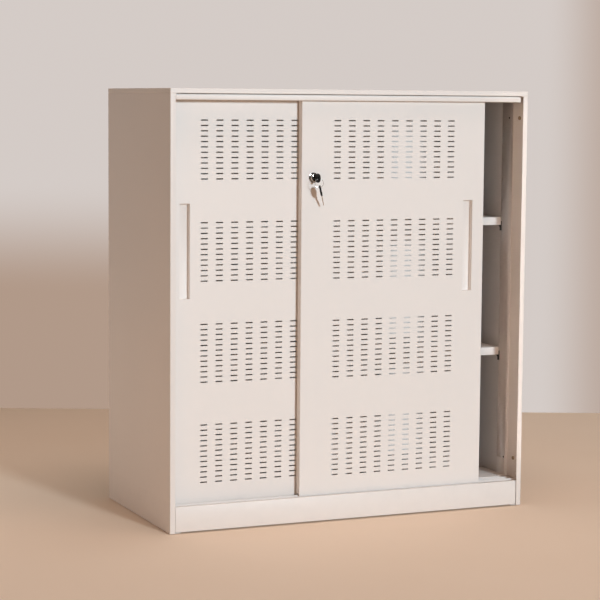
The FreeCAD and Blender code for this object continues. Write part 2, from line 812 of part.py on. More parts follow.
def make_key_bow():
    """An oval moulded grip with a hole for the ring."""
    middle = bow_start - key_bow_length / 2
    oval = Part.Ellipse(Vector(0, 0, 0), key_bow_length / 2, key_bow_height / 2)
    face = Part.Face(Part.Wire(oval.toShape()))
    grip = face.extrude(Vector(0, 0, key_bow_thickness))
    grip.translate(Vector(0, 0, -key_bow_thickness / 2))
    rims = [edge for edge in grip.Edges if edge.BoundBox.ZLength < 0.01]
    grip = grip.makeFillet(key_bow_thickness * 0.3, rims)
    grip.rotate(Vector(0, 0, 0), Vector(0, 0, 1), 90)
    grip.rotate(Vector(0, 0, 0), Vector(0, 1, 0), 90)
    grip.translate(Vector(0, middle, 0))
    reach = key_bow_thickness
    return grip.cut(rod(key_hole_radius, Vector(-reach, hole_y, 0), Vector(reach, hole_y, 0)))


def make_key_blade(length):
    """A flat steel blade whose end narrows to a blunt point, with a shank into the bow."""
    half_height, half = key_blade_height / 2, key_blade_thickness / 2
    shank_end = bow_start
    outline = [Vector(-half, shank_end, -half_height), Vector(-half, length - half_height, -half_height),
               Vector(-half, length, -half_height / 2), Vector(-half, length, half_height / 2),
               Vector(-half, length - half_height, half_height), Vector(-half, shank_end, half_height)]
    face = Part.Face(Part.makePolygon(outline + outline[:1]))
    return face.extrude(Vector(key_blade_thickness, 0, 0))


def place_key(shape):
    """Puts a key's piece in the lock."""
    moved = shape.copy()
    moved.translate(lock_point(-lock_proud))
    return place_right(moved)


ring_top = place_right(Part.Vertex(lock_point(-lock_proud + hole_y))).Point.sub(Vector(0, 0, ring_hang))
ring_normal = Vector(math.sin(math.radians(ring_yaw)), math.cos(math.radians(ring_yaw)), 0)
ring_across = Vector(math.cos(math.radians(ring_yaw)), -math.sin(math.radians(ring_yaw)), 0)
ring_centre = ring_top.sub(Vector(0, 0, ring_radius))


def make_key_ring():
    """The wire ring that hangs in the hole of the key's bow."""
    return Part.makeTorus(ring_radius, ring_wire_radius, ring_centre, ring_normal)


def spare_frame():
    """Where the spare key hangs: the point on the ring, its own length and its flat's normal."""
    angle = math.radians(spare_ring_angle)
    out = ring_across * math.sin(angle) + Vector(0, 0, -math.cos(angle))
    seat = ring_centre + out * ring_radius
    right, back = math.radians(spare_lean_right), math.radians(spare_lean_back)
    along = Vector(math.tan(right), math.tan(back) / math.cos(right), -1).normalize()
    turn = math.radians(spare_plate_yaw)
    across = Vector(math.sin(turn), math.cos(turn), 0)
    across = (across - along * across.dot(along)).normalize()
    normal = along.cross(across) * -1
    return seat, along, across, normal


def place_spare(shape):
    """Hangs a key's piece from the ring by the hole in its bow."""
    seat, along, across, normal = spare_frame()
    hole_centre = seat + along * (ring_hang * 0.85)
    height_axis = normal.cross(along)
    turn = FreeCAD.Rotation(normal, along, height_axis, "XYZ")
    moved = shape.copy()
    moved.translate(Vector(0, -hole_y, 0))
    moved.Placement = FreeCAD.Placement(hole_centre, turn).multiply(moved.Placement)
    return moved


# ---------------------------------------------------------------- strike, in the door frame of the left door

def make_strike_plate():
    """A raised plate on the rear door with the hole that the lock's nose enters."""
    x = (strike_from_edge - strike_width / 2, strike_from_edge + strike_width / 2)
    z = (lock_height - strike_height / 2, lock_height + strike_height / 2)
    bridge = block(x, (-strike_proud, strike_thickness - strike_proud), z)
    feet = [block(x, (-strike_proud, 0), foot_z)
            for foot_z in ((z[0], z[0] + strike_foot), (z[1] - strike_foot, z[1]))]
    hole = rod(lock_nose_radius + strike_hole_clearance, Vector(strike_from_edge, -strike_proud, lock_height),
               Vector(strike_from_edge, 0, lock_height))
    return join([bridge] + feet).cut(hole)


def make_strike_rivets():
    """Two low rivet heads on the strike plate's feet."""
    rivets = []
    for side in (1, -1):
        z = lock_height + side * (strike_height - strike_foot) / 2
        rivets.append(rod(strike_rivet_radius, Vector(strike_from_edge, -strike_proud - strike_rivet_head, z),
                          Vector(strike_from_edge, -strike_proud, z)))
    return Part.makeCompound(rivets)


# ---------------------------------------------------------------- all pieces

right_side_panel = make_right_side_panel()
front_upright, rear_upright = make_upright(front_place), make_upright(rear_place)

pieces = {
    "top_panel": make_top_panel(),
    "right_side_panel": right_side_panel,
    "left_side_panel": mirror_x(right_side_panel),
    "back_panel": make_back_panel(),
    "back_screws": make_back_screws(),
    "base_frame": make_base_frame(),
    "base_tabs": make_base_tabs(),
    "bottom_panel": make_bottom_panel(),
    "front_rail": make_rail(front_door_centre),
    "rear_rail": make_rail(rear_door_centre),
    "top_track": make_top_track(),
    "right_front_upright": front_upright,
    "left_front_upright": mirror_x(front_upright),
    "right_rear_upright": rear_upright,
    "left_rear_upright": mirror_x(rear_upright),
    "upright_brackets": make_upright_brackets(),
    "upright_rivets": make_upright_rivets(),
    "lower_shelf": make_shelf(lower_shelf_slot),
    "upper_shelf": make_shelf(upper_shelf_slot),
    "lower_shelf_clips": make_shelf_clips(lower_shelf_slot),
    "upper_shelf_clips": make_shelf_clips(upper_shelf_slot),
    "right_door_stops": make_door_stops(1),
    "left_door_stops": make_door_stops(-1),
}

door_panel = make_door_panel()
door_panels = {"right": door_panel.cut(make_lock_hole()), "left": door_panel}

for side, place in (("right", place_right), ("left", place_left)):
    inner_roller, outer_roller = (make_roller(x) for x in roller_places)
    pieces[f"{side}_door_panel"] = place(door_panels[side])
    pieces[f"{side}_door_bottom_channel"] = place(make_bottom_channel())
    pieces[f"{side}_door_top_channel"] = place(make_top_channel())
    pieces[f"{side}_door_handle_cup"] = place(make_handle_cup())
    pieces[f"{side}_door_roller_brackets"] = place(make_roller_brackets())
    pieces[f"{side}_door_roller_axles"] = place(make_roller_axles())
    pieces[f"{side}_door_inner_roller"] = place(inner_roller)
    pieces[f"{side}_door_outer_roller"] = place(outer_roller)
    pieces[f"{side}_door_top_guides"] = place(make_top_guides())

pieces["lock_housing"] = place_right(make_lock_housing())
pieces["lock_nut"] = place_right(make_lock_nut())
pieces["lock_spring"] = place_right(make_lock_spring())
pieces["lock_plunger"] = place_right(make_lock_plunger())
pieces["lock_plug"] = place_right(make_lock_plug())
pieces["strike_plate"] = place_left(make_strike_plate())
pieces["strike_rivets"] = place_left(make_strike_rivets())
pieces["key_bow"] = place_key(make_key_bow())
pieces["key_blade"] = place_key(make_key_blade(key_blade_length))
pieces["key_ring"] = make_key_ring()
pieces["spare_key_bow"] = place_spare(make_key_bow())
pieces["spare_key_blade"] = place_spare(make_key_blade(spare_blade_length))

os.makedirs("parts", exist_ok=True)
for name, shape in pieces.items():
    shape.exportStep(f"parts/{name}.step")
    print(name, len(shape.Solids), "solids", round(shape.Volume / 1000, 2), "cm3")
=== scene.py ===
import json
import math

import bmesh
import bpy
from mathutils import Matrix, Vector


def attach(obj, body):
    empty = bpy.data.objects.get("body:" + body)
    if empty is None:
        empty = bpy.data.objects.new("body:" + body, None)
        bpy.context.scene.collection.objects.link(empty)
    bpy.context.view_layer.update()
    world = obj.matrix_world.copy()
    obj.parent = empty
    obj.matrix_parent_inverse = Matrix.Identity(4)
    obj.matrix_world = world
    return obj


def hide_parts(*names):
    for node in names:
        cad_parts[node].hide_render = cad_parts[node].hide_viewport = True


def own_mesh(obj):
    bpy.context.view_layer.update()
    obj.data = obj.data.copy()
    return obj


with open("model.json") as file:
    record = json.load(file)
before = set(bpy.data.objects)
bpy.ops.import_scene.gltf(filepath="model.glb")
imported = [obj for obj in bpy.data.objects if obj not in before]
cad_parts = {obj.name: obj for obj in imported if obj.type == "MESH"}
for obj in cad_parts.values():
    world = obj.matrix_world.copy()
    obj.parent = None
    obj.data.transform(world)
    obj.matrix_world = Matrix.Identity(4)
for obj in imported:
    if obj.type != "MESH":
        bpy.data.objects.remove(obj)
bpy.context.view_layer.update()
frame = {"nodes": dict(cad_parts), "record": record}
nodes = frame["nodes"]
MM = 0.001


# ---------------------------------------------------------------- shader kit

class Wire:
    """A value, colour, vector or shader on its way between two nodes of one group."""

    def __init__(self, group, socket):
        self.group, self.socket = group, socket

    def _sum(self, operation, first, second):
        return self.group.add("Math", {"operation": operation}, {0: first, 1: second})

    def __add__(self, other): return self._sum("ADD", self, other)
    def __radd__(self, other): return self._sum("ADD", other, self)
    def __sub__(self, other): return self._sum("SUBTRACT", self, other)
    def __rsub__(self, other): return self._sum("SUBTRACT", other, self)
    def __mul__(self, other): return self._sum("MULTIPLY", self, other)
    def __rmul__(self, other): return self._sum("MULTIPLY", other, self)
    def __pow__(self, other): return self._sum("POWER", self, other)
    def __gt__(self, other): return self._sum("GREATER_THAN", self, other)
    def __lt__(self, other): return self._sum("LESS_THAN", self, other)


class NodeGroup:
    """The nodes of one material or of the world."""

    def __init__(self, owner):
        owner.use_nodes = True
        self.tree = owner.node_tree

    def feed(self, socket, value):
        """Links a wire to a socket, or sets a plain value on it."""
        if isinstance(value, Wire):
            self.tree.links.new(value.socket, socket)
        else:
            socket.default_value = value

    def add(self, kind, settings=None, values=None, output=0):
        """One node from its type, its settings, and the values or wires of its sockets."""
        node = self.tree.nodes.new("ShaderNode" + kind)
        for name, value in (settings or {}).items():
            setattr(node, name, value)
        for name, value in (values or {}).items():
            self.feed(node.inputs[name], value)
        return Wire(self, node.outputs[output])

    def show(self, output_node, shader):
        """Makes a shader the one that the material or the world shows."""
        self.feed(self.tree.nodes[output_node].inputs["Surface"], shader)


class Finish(NodeGroup):
    """One procedural material, laid out in the object's own coordinates."""

    def __init__(self, name, **constants):
        self.material = bpy.data.materials.new(name)
        super().__init__(self.material)
        self.shader = self.tree.nodes["Principled BSDF"]
        for socket, value in constants.items():
            self.shader.inputs[socket.replace("_", " ")].default_value = value
        self.place = self.add("TexCoord", output="Object")

    def noise(self, scale, detail=2.0, stretch=(1, 1, 1)):
        """Soft random grey, 0 to 1, with its grain size set by scale."""
        place = self.add("Mapping", None, {"Vector": self.place, "Scale": stretch})
        return self.add("TexNoise", None, {"Vector": place, "Scale": scale, "Detail": detail})

    def blend(self, first, second, mask):
        """One colour over another, where the mask is white."""
        return self.add("Mix", {"data_type": "RGBA"}, {0: mask, 6: first, 7: second}, output=2)

    def height(self):
        """How far each point stands from the floor, in metres."""
        return self.add("SeparateXYZ", None, {"Vector": self.place}, output="Z")

    def fade(self, value, start, end):
        """A soft step, 0 where the value is at start and 1 where it is at end."""
        return self.add("MapRange", {"interpolation_type": "SMOOTHSTEP"}, {0: value, 1: start, 2: end})

    def bump(self, height, distance, strength):
        """Fine relief, its depth in metres."""
        return self.add("Bump", None, {"Height": height, "Distance": distance, "Strength": strength})

    def paint(self, **sockets):
        """Feeds the shader's sockets, named with _ for a space, and gives back the material."""
        for socket, value in sockets.items():
            self.feed(self.shader.inputs[socket.replace("_", " ")], value)
        return self.material


def shade(colour, factor):
    """A colour made lighter or darker, with an alpha of 1."""
    return tuple(min(1.0, channel * factor) for channel in colour[:3]) + (1.0,)


# Heights from the floor, in metres: feet scuff the paint below one, and dust dulls it above the other.
SCUFF_TOP, DUST_FOOT = 0.07, 0.9945


def powder_coat(name, colour):
    """Baked powder: a fine orange-peel skin, an uneven tone and a silky sheen, dusty on the flat top."""
    finish = Finish(name, Specular_IOR_Level=0.45)
    cloud = finish.noise(5.0, 3.0)
    mottle = finish.noise(60.0, 2.0)
    skin = finish.noise(900.0, 2.0)
    tone = finish.blend(shade(colour, 0.975), shade(colour, 1.02), cloud * 0.7 + mottle * 0.3)
    scuff = (finish.height() < SCUFF_TOP) * (finish.noise(35.0, 6.0) ** 3.0) * 0.5
    tone = finish.blend(tone, shade(colour, 0.82), scuff)
    dust = finish.height() > DUST_FOOT
    rough = 0.40 + mottle * 0.07 + cloud * 0.05 + dust * 0.4
    return finish.paint(Base_Color=tone, Roughness=rough, Normal=finish.bump(skin, 0.00004, 0.5))


def bright_metal(name, colour, roughness, grain, stretch, depth=0.00003):
    """Plated or drawn metal with fine marks that run one way."""
    finish = Finish(name)
    marks = finish.noise(grain, 3.0, stretch)
    cloud = finish.noise(40.0, 2.0)
    tone = finish.blend(shade(colour, 0.86), shade(colour, 1.06), marks * 0.6 + cloud * 0.4)
    rough = (0.8 + marks * 0.5) * roughness
    return finish.paint(Base_Color=tone, Roughness=rough, Metallic=1.0, Normal=finish.bump(marks, depth, 0.4))


def moulded(name, colour, roughness, grain, gloss=0.5):
    """Moulded plastic or rubber with a fine spark-eroded texture."""
    finish = Finish(name, Specular_IOR_Level=gloss)
    texture = finish.noise(grain, 2.0)
    cloud = finish.noise(50.0, 2.0)
    tone = finish.blend(shade(colour, 0.85), shade(colour, 1.25), texture * 0.5 + cloud * 0.5)
    rough = roughness + texture * 0.1
    return finish.paint(Base_Color=tone, Roughness=rough, Normal=finish.bump(texture, 0.00005, 0.5))


WARM_WHITE = (0.83, 0.766, 0.72)
finishes = {
    "shell": powder_coat("powder_coat_shell", WARM_WHITE),
    "door": powder_coat("powder_coat_door", WARM_WHITE),
    # Painted light: the shelves take the shell's warm white made about 7 % lighter, so that their front lips
    # show brighter.
    "shelf": powder_coat("powder_coat_shelf_painted_light", (0.89, 0.825, 0.78)),
    "screws": bright_metal("zinc_screw", (0.55, 0.55, 0.56), 0.32, 900.0, (1, 1, 1)),
    "zinc_bracket": bright_metal("zinc_plate", (0.58, 0.58, 0.57), 0.36, 400.0, (1, 1, 0.2)),
    "spring_steel": bright_metal("drawn_steel", (0.50, 0.50, 0.51), 0.25, 900.0, (1, 0.1, 1)),
    # Painted reflection: the chrome's tone is darkened and browned to stand in for the brown room that it
    # mirrors.
    "lock_chrome": bright_metal("lock_chrome", (0.44, 0.40, 0.37), 0.09, 600.0, (1, 0.1, 1), 0.00001),
    "lock_core": bright_metal("lock_core_nickel", (0.46, 0.45, 0.43), 0.22, 800.0, (1, 0.1, 1)),
    "key_plastic": moulded("key_black_plastic", (0.0045, 0.004, 0.0042), 0.46, 900.0, 0.25),
    "key_steel": bright_metal("key_nickel", (0.60, 0.59, 0.57), 0.20, 700.0, (0.2, 1, 1)),
    "nylon": moulded("natural_nylon", (0.70, 0.69, 0.64), 0.45, 500.0),
    "black_plastic": moulded("black_clip_plastic", (0.02, 0.019, 0.018), 0.42, 700.0),
    "stop_rubber": moulded("brown_stop_rubber", (0.30, 0.21, 0.14), 0.55, 900.0),
}

record = frame["record"]
slot_of = {part["node"]: part["material_slot"] for part in record["subparts"]}
body_of = {node: body for body, group in record["behaviour"]["bodies"].items() for node in group}
for name, node in nodes.items():
    for slot in node.material_slots:
        slot.material = finishes[slot_of[name]]


# ---------------------------------------------------------------- sizes shared with the cabinet, in millimetres

FRONT = -220.5
RIGHT_DOOR_EDGE = -128.3
LOCK_X, LOCK_Z = RIGHT_DOOR_EDGE + 29.5, 795.0
DOOR_FACE = FRONT + 15.0
LOCK_FACE = DOOR_FACE - 11.0
BOW_GAP, BOW_LENGTH, BOW_HEIGHT, BOW_THICKNESS = 0.4, 26.0, 21.0, 4.0
KEY_HOLE_RADIUS, KEY_HOLE_FROM_END = 3.0, 5.5
KEY_HOLE = BOW_GAP + BOW_LENGTH - KEY_HOLE_FROM_END
RING_RADIUS, RING_HANG, RING_YAW = 10.0, 1.2, math.radians(11.0)
SLEEVE_REAR = 12.3
LOCK_PLACE = Matrix.Translation((LOCK_X, DOOR_FACE, LOCK_Z))
KEY_PLACE = Matrix.Translation((LOCK_X, LOCK_FACE, LOCK_Z))


# ---------------------------------------------------------------- tools for pieces

def add_piece(name, shape, node_names, smooth=35.0, place=None):
    """Makes a piece from a mesh in millimetres, and lets it stand for one or more nodes."""
    if place is not None:
        bmesh.ops.transform(shape, matrix=place, verts=shape.verts)
    bmesh.ops.scale(shape, vec=(MM, MM, MM), verts=shape.verts)
    mesh = bpy.data.meshes.new(name)
    shape.to_mesh(mesh)
    shape.free()
    for face in mesh.polygons:
        face.use_smooth = True
    mesh.set_sharp_from_angle(angle=math.radians(smooth))
    slot = slot_of[node_names[0]]
    mesh.materials.append(finishes[slot])
    piece = bpy.data.objects.new(name, mesh)
    bpy.context.scene.collection.objects.link(piece)
    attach(piece, body_of[node_names[0]])
    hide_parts(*node_names)
    return piece


def softened(node_name, width, segments=2, sharper_than=30.0):
    """A node with its sharp edges broken: sheet metal and mouldings have no knife edges."""
    shape = bmesh.new()
    shape.from_mesh(nodes[node_name].data)
    bmesh.ops.scale(shape, vec=(1 / MM, 1 / MM, 1 / MM), verts=shape.verts)
    bmesh.ops.remove_doubles(shape, verts=shape.verts, dist=0.005)
    bmesh.ops.dissolve_limit(shape, angle_limit=math.radians(0.5), verts=shape.verts, edges=shape.edges)
    limit = math.radians(sharper_than)
    sharp = [edge for edge in shape.edges if edge.is_manifold and edge.calc_face_angle(0.0) > limit]
    bmesh.ops.bevel(shape, geom=sharp, offset=width, segments=segments, profile=0.5, affect="EDGES",
                    material=-1, clamp_overlap=True)
    return add_piece(node_name + "_finished", shape, [node_name])


def turned(profile, steps=64):
    """A solid turned round the Y axis from a closed profile of radius and Y."""
    shape = bmesh.new()
    points = [shape.verts.new((radius, y, 0)) for radius, y in profile]
    edges = [shape.edges.new((points[i - 1], points[i])) for i in range(len(points))]
    bmesh.ops.spin(shape, geom=points + edges, axis=(0, 1, 0), cent=(0, 0, 0), angle=2 * math.pi,
                   steps=steps, use_merge=True)
    bmesh.ops.remove_doubles(shape, verts=shape.verts, dist=0.001)
    bmesh.ops.dissolve_degenerate(shape, edges=shape.edges, dist=0.0005)
    bmesh.ops.recalc_face_normals(shape, faces=shape.faces)
    return shape


def edges_at(points):
    """Each edge that meets the points, once and in their order."""
    return list(dict.fromkeys(edge for point in points for edge in point.link_edges))


def ring_of(shape, count, radius_y, radius_z, centre, x=0.0):
    """The edges of an oval that stands across the X axis."""
    loop = bmesh.ops.create_circle(shape, segments=count, radius=1.0)["verts"]
    turn = Matrix.Rotation(math.pi / 2, 4, "Y")
    bmesh.ops.transform(shape, matrix=turn, verts=loop)
    bmesh.ops.scale(shape, vec=(1, radius_y, radius_z), verts=loop)
    bmesh.ops.translate(shape, vec=(x, centre[0], centre[1]), verts=loop)
    return edges_at(loop)


def stack(shape, loops, closed=False):
    """Walls from each loop of edges to the next, and from the last to the first when closed."""
    pairs = list(zip(loops, loops[1:]))
    if closed:
        pairs.append((loops[-1], loops[0]))
    for first, second in pairs:
        bmesh.ops.bridge_loops(shape, edges=first + second)


def merge(shape, other):
    """Adds another mesh's faces to a shape."""
    mesh = bpy.data.meshes.new("part")
    other.to_mesh(mesh)
    other.free()
    shape.from_mesh(mesh)
    bpy.data.meshes.remove(mesh)


# ---------------------------------------------------------------- lock

# Profiles of the lock are pairs of radius and Y: Y = 0 is the door's face, and - is towards the front.
barrel = [(5.05, -10.8), (5.25, -11.0), (8.1, -11.0), (8.8, -10.85), (9.15, -10.5), (9.3, -10.0),
          (9.3, -3.3), (9.15, -3.1), (9.15, -2.7), (9.3, -2.5), (9.3, 3.7), (9.0, 4.0), (8.4, 4.0),
          (8.4, -4.0), (5.6, -4.0), (5.6, 12.6), (4.9, 13.3), (0, 13.3), (0, 9.05), (4.05, 9.05),
          (4.05, -6.95), (5.05, -6.95)]
add_piece("lock_barrel", turned(barrel), ["lock_plunger"], 28, LOCK_PLACE)
sleeve = [(9.35, -1.0), (9.55, -1.2), (11.1, -1.2), (11.55, -1.0), (11.8, -0.55), (11.8, 0), (11.0, 0),
          (11.0, 13.8), (5.65, 13.8), (5.65, SLEEVE_REAR), (9.35, SLEEVE_REAR)]
add_piece("lock_sleeve", turned(sleeve), ["lock_housing"], 28, LOCK_PLACE)
softened("lock_plug", 0.12)
softened("lock_nut", 0.35)


def make_spring():
    """A steel coil between the barrel and the sleeve's rear wall."""
    turns, steps, start, end, radius, wire = 6, 28, -3.65, 11.95, 7.0, 0.35
    shape = bmesh.new()
    loop = bmesh.ops.create_circle(shape, segments=10, radius=wire, cap_ends=True)["verts"]
    bmesh.ops.translate(shape, vec=(radius, start, 0), verts=loop)
    bmesh.ops.spin(shape, geom=shape.faces[:], axis=(0, 1, 0), cent=(0, 0, 0), angle=2 * math.pi * turns,
                   steps=turns * steps, dvec=(0, (end - start) / (turns * steps), 0))
    bmesh.ops.recalc_face_normals(shape, faces=shape.faces)
    return shape


spring = add_piece("lock_spring_coil", make_spring(), ["lock_spring"], 60, LOCK_PLACE)
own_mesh(spring)


# ---------------------------------------------------------------- keys

# A key has the lock's face at Y = 0: its bow lies towards -Y and its blade towards +Y.
def make_bow():
    """An oval moulded grip: rounded rim, a hole for the ring and a raised pad on each flat."""
    shape = bmesh.new()
    middle = (-BOW_GAP - BOW_LENGTH / 2, 0.0)
    hole = (-KEY_HOLE, 0.0)
    half = BOW_THICKNESS / 2
    loops = []
    for inset, x in ((1.3, -half), (0.45, -half + 0.35), (0.0, -half + 1.1), (0.0, half - 1.1),
                     (0.45, half - 0.35), (1.3, half)):
        loops.append(ring_of(shape, 64, BOW_LENGTH / 2 - inset, BOW_HEIGHT / 2 - inset, middle, x))
    for grow, x in ((0.3, half), (0.0, half - 0.3), (0.0, -half + 0.3), (0.3, -half)):
        loops.append(ring_of(shape, 64, KEY_HOLE_RADIUS + grow, KEY_HOLE_RADIUS + grow, hole, x))
    stack(shape, loops, closed=True)
    bmesh.ops.recalc_face_normals(shape, faces=shape.faces)
    for side in (1, -1):
        pad = bmesh.new()
        rims = [ring_of(pad, 48, 5.6 - drop, 7.2 - drop, (-BOW_GAP - 8.6, 0.0), side * (half - 0.15 + rise))
                for drop, rise in ((0.0, 0.0), (0.0, 0.25), (0.35, 0.45))]
        stack(pad, rims)
        for rim in (rims[0], rims[-1]):
            bmesh.ops.edgeloop_fill(pad, edges=rim)
        bmesh.ops.recalc_face_normals(pad, faces=pad.faces)
        merge(shape, pad)
    return shape


def make_blade(length):
    """A nickelled blade with a groove along each flat and cuts along its lower edge."""
    thick, top, low = 2.0, 3.2, -3.2
    outline = [(-0.6, low), (4.4, low)]
    for number, depth in enumerate((1.5, 0.7, 1.9, 1.1, 1.6)):
        start = 5.2 + 2.6 * number
        outline += [(start, low + depth), (start + 1.4, low + depth)]
    outline += [(length - 0.6, -0.9), (length, -0.3), (length, 0.5), (length - 2.4, top), (-0.6, top)]
    shape = bmesh.new()
    points = [shape.verts.new((-thick / 2, y, z)) for y, z in outline]
    side = shape.faces.new(points)
    swept = bmesh.ops.extrude_face_region(shape, geom=[side])["geom"]
    far_side = [item for item in swept if isinstance(item, bmesh.types.BMVert)]
    bmesh.ops.translate(shape, vec=(thick, 0, 0), verts=far_side)
    groove = (0.3, 1.7)
    for z in groove:
        everything = shape.verts[:] + shape.edges[:] + shape.faces[:]
        bmesh.ops.bisect_plane(shape, geom=everything, plane_co=(0, 0, z), plane_no=(0, 0, 1))
    bmesh.ops.recalc_face_normals(shape, faces=shape.faces)
    strips = [face for face in shape.faces
              if abs(face.normal.x) > 0.9 and groove[0] < face.calc_center_median().z < groove[1]]
    bmesh.ops.inset_individual(shape, faces=strips, thickness=0.12, depth=-0.35)
    sharp = [edge for edge in shape.edges if edge.is_manifold and edge.calc_face_angle(0.0) > 0.9]
    bmesh.ops.bevel(shape, geom=sharp, offset=0.06, segments=1, profile=0.5, affect="EDGES", material=-1,
                    clamp_overlap=True)
    return shape


ring_top = Vector((LOCK_X, LOCK_FACE - KEY_HOLE, LOCK_Z - RING_HANG))
ring_normal = Vector((math.sin(RING_YAW), math.cos(RING_YAW), 0))
ring_across = Vector((math.cos(RING_YAW), -math.sin(RING_YAW), 0))
ring_centre = ring_top - Vector((0, 0, RING_RADIUS))


def spare_place():
    """Where the spare key hangs from the ring by the hole in its bow."""
    angle, lean_right, lean_back, turn = (math.radians(value) for value in (12.5, 21.9, 20.3, 22.3))
    seat = ring_centre + (ring_across * math.sin(angle) - Vector((0, 0, math.cos(angle)))) * RING_RADIUS
    along = Vector((math.tan(lean_right), math.tan(lean_back) / math.cos(lean_right), -1)).normalized()
    across = Vector((math.sin(turn), math.cos(turn), 0))
    across = (across - along * across.dot(along)).normalized()
    normal = -along.cross(across)
    height = normal.cross(along)
    hole_centre = seat + along * RING_HANG * 0.85
    turn_matrix = Matrix((normal, along, height)).transposed().to_4x4()
    return Matrix.Translation(hole_centre) @ turn_matrix @ Matrix.Translation((0, KEY_HOLE, 0))


def make_split_ring():
    """A ring of flat-sided spring wire, wound twice round."""
    wire, turns, steps = 0.44, 2, 60
    shape = bmesh.new()
    loop = bmesh.ops.create_circle(shape, segments=12, radius=wire, cap_ends=True)["verts"]
    bmesh.ops.translate(shape, vec=(RING_RADIUS, -wire - 0.01, 0), verts=loop)
    bmesh.ops.spin(shape, geom=shape.faces[:], axis=(0, 1, 0), cent=(0, 0, 0), angle=2 * math.pi * turns,
                   steps=turns * steps, dvec=(0, 2 * wire / (turns * steps) * 1.02, 0))
    bmesh.ops.recalc_face_normals(shape, faces=shape.faces)
    return shape


ring_turn = Matrix((ring_across, ring_normal, Vector((0, 0, 1)))).transposed().to_4x4()
add_piece("key_bow_moulding", make_bow(), ["key_bow"], 32, KEY_PLACE)
add_piece("key_blade_cut", make_blade(19.0), ["key_blade"], 25, KEY_PLACE)
add_piece("split_ring", make_split_ring(), ["key_ring"], 60, Matrix.Translation(ring_centre) @ ring_turn)
add_piece("spare_bow_moulding", make_bow(), ["spare_key_bow"], 32, spare_place())
add_piece("spare_blade_cut", make_blade(26.0), ["spare_key_blade"], 25, spare_place())


# ---------------------------------------------------------------- fasteners

def make_screw():
    """A low domed head with a cross recess, its seat at Y = 0 and its dome towards +Y."""
    count = 24
    shape = bmesh.new()

    def ring(y, radius):
        loop = bmesh.ops.create_circle(shape, segments=count, radius=1.0)["verts"]
        for number, point in enumerate(loop):
            angle = 2 * math.pi * number / count
            reach = radius(angle) if callable(radius) else radius
            point.co = (reach * math.cos(angle), y, reach * math.sin(angle))
        return edges_at(loop)

    def cross(length, width):
        def reach(angle):
            run, rise = max(abs(math.cos(angle)), 1e-6), max(abs(math.sin(angle)), 1e-6)
            return max(min(length / run, width / rise), min(length / rise, width / run))
        return reach

    rings = [ring(0.0, 4.0), ring(0.35, 3.95), ring(0.9, 3.4), ring(1.35, 2.6), ring(1.58, 1.9),
             ring(1.6, cross(1.5, 0.45)), ring(0.7, cross(1.1, 0.3))]
    stack(shape, rings)
    for rim in (rings[0], rings[-1]):
        bmesh.ops.edgeloop_fill(shape, edges=rim)
    bmesh.ops.recalc_face_normals(shape, faces=shape.faces)
    return shape


def copies(make, places):
    """One shape with the same solid at each place."""
    whole = bmesh.new()
    for place in places:
        one = make()
        bmesh.ops.transform(one, matrix=place, verts=one.verts)
        merge(whole, one)
    return whole


# Each screw's cross stands at a turn of its own.
SCREW_X, LOWEST_SCREW, SCREW_PITCH, SCREW_ROWS = 440.0, 60.0, 216.0, 5
screw_places = [Matrix.Translation((x, -FRONT, LOWEST_SCREW + row * SCREW_PITCH))
                @ Matrix.Rotation(row + x, 4, "Y")
                for x in (-SCREW_X, SCREW_X) for row in range(SCREW_ROWS)]
add_piece("back_screw_heads", copies(make_screw, screw_places), ["back_screws"], 30)


def make_rivet():
    """A domed plastic rivet head, its seat at Y = 0."""
    return turned([(0, 0), (2.4, 0), (2.4, 0.35), (2.1, 0.8), (1.4, 1.1), (0, 1.2)], 24)


RIVET_X, RIVET_DEPTHS, RIVET_HEIGHTS = 443.0, (75.0, 431.0), (105.0, 932.0)
rivet_places = []
for side in (1, -1):
    turn = Matrix.Rotation(side * math.pi / 2, 4, "Z")
    for depth in RIVET_DEPTHS:
        for z in RIVET_HEIGHTS:
            rivet_places.append(Matrix.Translation((side * RIVET_X, FRONT + depth, z)) @ turn)
add_piece("upright_rivet_heads", copies(make_rivet, rivet_places), ["upright_rivets"], 35)
softened("right_door_stops", 0.8, 3)
softened("left_door_stops", 0.8, 3)
softened("strike_rivets", 0.25)
softened("strike_plate", 0.2)


# ---------------------------------------------------------------- sheet metal with its edges broken

for node_name in ("top_track", "base_frame", "bottom_panel", "base_tabs", "lower_shelf", "upper_shelf",
                  "right_side_panel", "left_side_panel", "upright_brackets"):
    softened(node_name, 0.3)
for node_name in ("right_front_upright", "left_front_upright", "right_rear_upright", "left_rear_upright",
                  "lower_shelf_clips", "upper_shelf_clips"):
    softened(node_name, 0.2)
for side in ("right", "left"):
    softened(f"{side}_door_handle_cup", 0.4)
    softened(f"{side}_door_roller_brackets", 0.2)
    softened(f"{side}_door_top_guides", 0.5)
    softened(f"{side}_door_roller_axles", 0.2)


# ---------------------------------------------------------------- camera, lights, floor and wall, in metres

CAMERA_PLACE = (-1.9214, -4.3192, 0.9702)
CAMERA_YAW, CAMERA_TILT, CAMERA_LEAN = 0.4107, 0.1009, 0.0078
CAMERA_LENS, SENSOR_WIDTH = 118.33, 36.0
WALL = (0.66, 0.60, 0.57, 1.0)
# Painted shade of the wall: the tone low on its left, and the tone along its right edge.
SHADED_LOW_WALL = (0.44, 0.32, 0.25, 1.0)
SHADED_WALL_EDGE = (0.50, 0.40, 0.345, 1.0)
WALL_FOOT, WALL_YAW = (-0.305, 1.672), math.radians(-23.8)
WALL_REACH, FLOOR_REACH = 5.0, 6.0
# Where the wall's painted shade starts and where it is full, up the wall and across it.
SHADE_HEIGHTS, SHADE_ACROSS, EDGE_SHADE_ACROSS = (0.72, 0.36), (0.6, -0.4), (0.70, 0.93)
FOOT_GAP = 0.0015
CABINET_MIDDLE = (0, -0.2, 0.5)
OPEN_END = (0.425, -0.205, 0.54)


